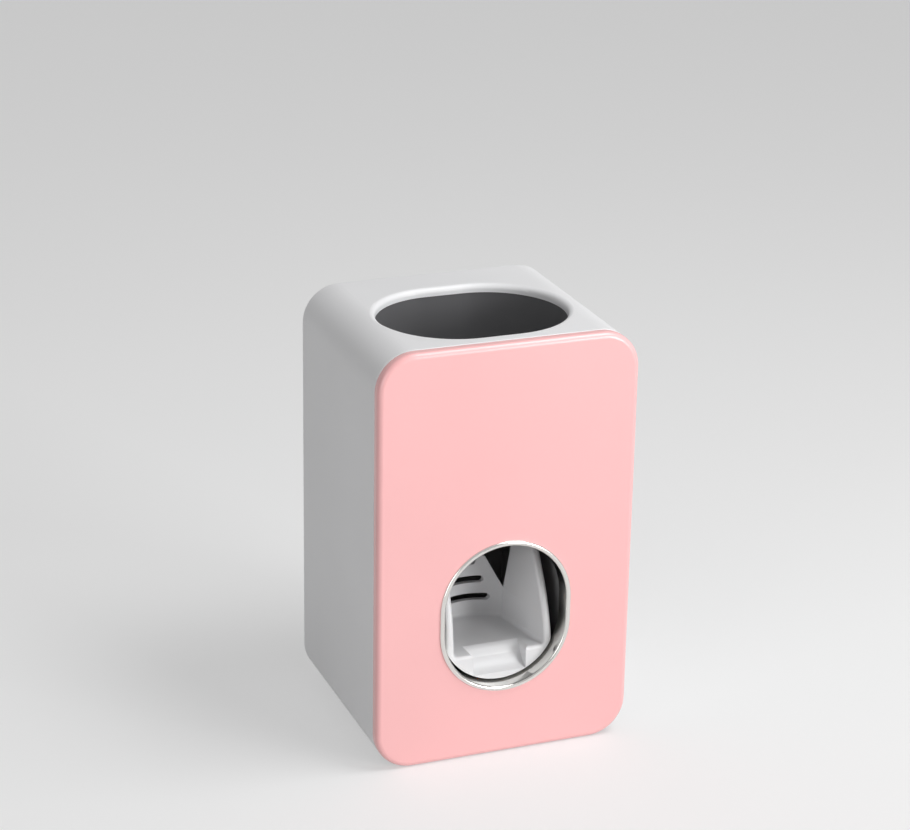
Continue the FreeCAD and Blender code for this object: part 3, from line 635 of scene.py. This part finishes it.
def duckbill(low, high, steps=48, levels=12):
    """Shell of outer and inner rings between the two corners of the valve's box."""
    radius = (high.x - low.x) / 2
    centre_y = (low.y + high.y) / 2
    maker = bmesh.new()

    def ring(height_share, inner):
        squeeze = min(1.0, max(0.0, (height_share - COLLAR_SHARE) / (1 - COLLAR_SHARE)))
        reach = radius - VALVE_WALL if inner else radius
        lip = BEAK_SLIT if inner else BEAK_LIP
        depth = reach + (lip - reach) * squeeze
        z = high.z + (low.z - high.z) * height_share
        made = []
        for step in range(steps):
            angle = 2 * math.pi * step / steps
            x = (low.x + high.x) / 2 + reach * math.cos(angle)
            made.append(maker.verts.new((x, centre_y + depth * math.sin(angle), z)))
        return made

    outer = [ring(i / levels, False) for i in range(levels + 1)]
    inner = [ring(i / levels, True) for i in range(levels + 1)]
    skins = outer + inner[::-1]
    for first, second in zip(skins, skins[1:] + skins[:1]):
        for i in range(steps):
            j = (i + 1) % steps
            maker.faces.new((first[i], first[j], second[j], second[i]))
    return maker


for name in ("inlet_valve", "outlet_valve"):
    new_piece("duckbill_" + name.split("_")[0], duckbill(*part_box(name)), silicone, "housing",
              [name])
print("valves narrow to", 2 * BEAK_LIP / MM, "mm")

# %% [markdown]
# The two clamps are steel bands that grip the tube's ends. A real one has a rolled edge on both
# sides, which a plain ring can't show, so each is turned from an outline with raised rims.

# %% Tube clamps
RIM = 0.3 * MM


def clamp_outline(low, high):
    """Closed outline of a band with a raised rim at each side."""
    outer = (high.x - low.x) / 2
    inner = TUBE_OUTER
    hollow = outer - RIM
    rim_low = low.z + 2 * RIM
    rim_high = high.z - 2 * RIM
    return [
        (inner, low.z), (outer - RIM / 2, low.z), (outer, low.z + RIM), (hollow, rim_low),
        (hollow, rim_high), (outer, high.z - RIM), (outer - RIM / 2, high.z), (inner, high.z),
    ]


for name in ("pump_clamp_upper", "pump_clamp_lower"):
    low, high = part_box(name)
    band = turned(pump_x, pump_y, clamp_outline(low, high))
    new_piece("rolled_" + name, band, steel, "housing", [name])
print("clamps are", round((high.x - pump_x) / MM, 2), "mm in radius")

# %% [markdown]
# Each return spring is wound from round wire on its pivot pin: a coil of a little over two
# turns, one leg down behind the lever's arm and one forward over a peg of the frame. Its path
# is a helix with straight ends, told here as a list of points.

# %% The spring wire's path
WIRE = 0.35 * MM
COIL = 2.9 * MM
COIL_WIDTH = 1.7 * MM
SPRING_TURNS = 2.25
COIL_STEPS = 72


def spring_path(side):
    """Points along the wire's middle: foot, rear leg, coil and front leg."""
    low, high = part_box("return_spring_right" if side > 0 else "return_spring_left")
    pin_low, pin_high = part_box("pivot_pin_right" if side > 0 else "pivot_pin_left")
    pivot_y = (pin_low.y + pin_high.y) / 2
    pivot_z = (pin_low.z + pin_high.z) / 2
    near = min(abs(low.x), abs(high.x))
    far = max(abs(low.x), abs(high.x))
    inner_x = far - COIL_WIDTH + WIRE
    outer_x = far - WIRE
    rear_leg_end = (side * inner_x, high.y - WIRE, low.z + WIRE)
    path = [(side * (near + WIRE), high.y - WIRE, low.z + WIRE), rear_leg_end]
    for step in range(COIL_STEPS + 1):
        share = step / COIL_STEPS
        angle = 2 * math.pi * SPRING_TURNS * share
        x = side * (inner_x + (outer_x - inner_x) * share)
        path.append((x, pivot_y + COIL * math.cos(angle), pivot_z + COIL * math.sin(angle)))
    path.append((side * outer_x, low.y + WIRE, pivot_z + COIL))
    return path


print("springs have", SPRING_TURNS, "turns")

# %% [markdown]
# A curve with a round bevel follows the path and gives the wire its thickness. The curve is then
# made into a mesh.

# %% Wind the springs
WIRE_SMOOTHNESS = 4


def wound(name, side, replaced):
    """Wire mesh along the spring's path, which takes a ready-made spring's place."""
    path = spring_path(side)
    data = bpy.data.curves.new(name, "CURVE")
    data.dimensions = "3D"
    data.bevel_depth = WIRE
    data.bevel_resolution = WIRE_SMOOTHNESS
    data.use_fill_caps = True
    spline = data.splines.new("POLY")
    spline.points.add(len(path) - 1)
    for point, place in zip(spline.points, path):
        point.co = (*place, 1.0)
    wire = bpy.data.objects.new(name + "_path", data)
    bpy.context.scene.collection.objects.link(wire)
    mesh = bpy.data.meshes.new_from_object(wire)
    bpy.data.objects.remove(wire)
    mesh.materials.clear()
    mesh.materials.append(spring_steel)
    mesh.shade_smooth()
    piece = bpy.data.objects.new(name, mesh)
    bpy.context.scene.collection.objects.link(piece)
    leg_end = path[1]
    leg_start = (leg_end[0], leg_end[1], path[2][2] - COIL)
    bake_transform(piece)
    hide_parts(replaced)
    return piece


left_wire = wound("wire_spring_left", -1, "return_spring_left")
right_wire = wound("wire_spring_right", 1, "return_spring_right")
print("wires have", len(left_wire.data.polygons), "and", len(right_wire.data.polygons), "faces")

# %% [markdown]
# The foam pad between bracket and wall is a flat die-cut sheet. The knife leaves round corners
# and presses the rims in a little, so the pad is four outlines one behind the other: the two at
# its faces are slightly smaller than the two between them.

# %% Foam pad
PAD_CORNER = 4.0 * MM
PAD_EDGE = 0.2 * MM


def rounded_rectangle(half_x, half_z, radius, steps=8):
    """Corner points of an upright rounded rectangle, in order."""
    points = []
    for turn, (sx, sz) in enumerate(((1, 1), (-1, 1), (-1, -1), (1, -1))):
        for step in range(steps + 1):
            angle = math.pi / 2 * (turn + step / steps)
            x = sx * (half_x - radius) + radius * math.cos(angle)
            z = sz * (half_z - radius) + radius * math.sin(angle)
            points.append((x, z))
    return points


def pad_mesh(low, high):
    """Sheet with pressed rims between the two corners of the pad's box."""
    centre = (low + high) / 2
    half_x = (high.x - low.x) / 2
    half_z = (high.z - low.z) / 2
    maker = bmesh.new()
    skins = []
    sections = (
        (low.y, PAD_EDGE), (low.y + PAD_EDGE, 0), (high.y - PAD_EDGE, 0), (high.y, PAD_EDGE),
    )
    for y, inset in sections:
        outline = rounded_rectangle(half_x - inset, half_z - inset, PAD_CORNER - inset)
        skins.append([maker.verts.new((centre.x + x, y, centre.z + z)) for x, z in outline])
    for first, second in zip(skins, skins[1:]):
        for i in range(len(first)):
            j = (i + 1) % len(first)
            maker.faces.new((first[i], first[j], second[j], second[i]))
    maker.faces.new(skins[0])
    maker.faces.new(skins[-1])
    return maker


low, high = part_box("adhesive_pad")
pad = new_piece("foam_pad", pad_mesh(low, high), foam, "wall_bracket", ["adhesive_pad"])
print("pad is", round((high.z - low.z) / MM, 1), "mm tall")
